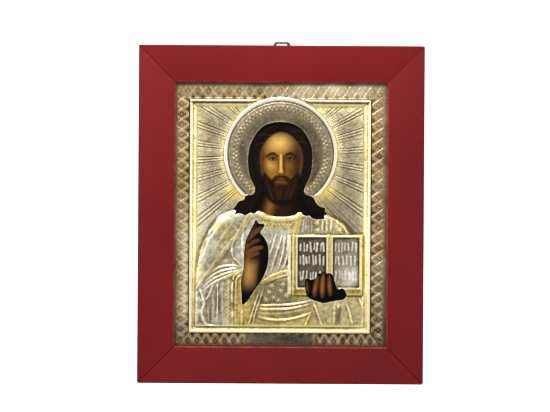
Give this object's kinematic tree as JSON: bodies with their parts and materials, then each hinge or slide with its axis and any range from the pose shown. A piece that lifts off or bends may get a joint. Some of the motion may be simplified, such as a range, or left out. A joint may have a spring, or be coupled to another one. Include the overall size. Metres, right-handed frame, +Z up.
{
  "type": "framed icon panel",
  "caption": "Painted icon board under an embossed metal cover with a raised halo, in a mitred red wooden frame that hangs from an eye on its back.",
  "frame": {"origin": "on the back face of the top rail, midway along it, in the strip between the board's rebate and the hanger's recess", "axes": "+Z up; the picture faces -Y and the back of the frame, which lies against the wall, faces +Y; +X is to the viewer's right"},
  "size_m": [0.229, 0.03, 0.2755],
  "materials": {
    "red_frame": "satin red paint over wood",
    "painted_board": "old wood, its face painted and varnished",
    "gilt_cover": "embossed silver sheet, parcel gilt, worn and tarnished",
    "silver_halo": "embossed silver sheet, polished rim, tarnished field",
    "hanger_steel": "darkened stamped steel"
  },
  "bodies": {
    "root": {"frame_rail_top": "red_frame", "frame_rail_bottom": "red_frame", "frame_rail_left": "red_frame", "frame_rail_right": "red_frame", "icon_board": "painted_board", "metal_cover": "gilt_cover", "halo": "silver_halo", "hanger_plate": "hanger_steel", "hanger_screw_left": "hanger_steel", "hanger_screw_right": "hanger_steel", "retaining_point_left_1": "hanger_steel", "retaining_point_left_2": "hanger_steel", "retaining_point_right_1": "hanger_steel", "retaining_point_right_2": "hanger_steel"}
  },
  "joints": []
}
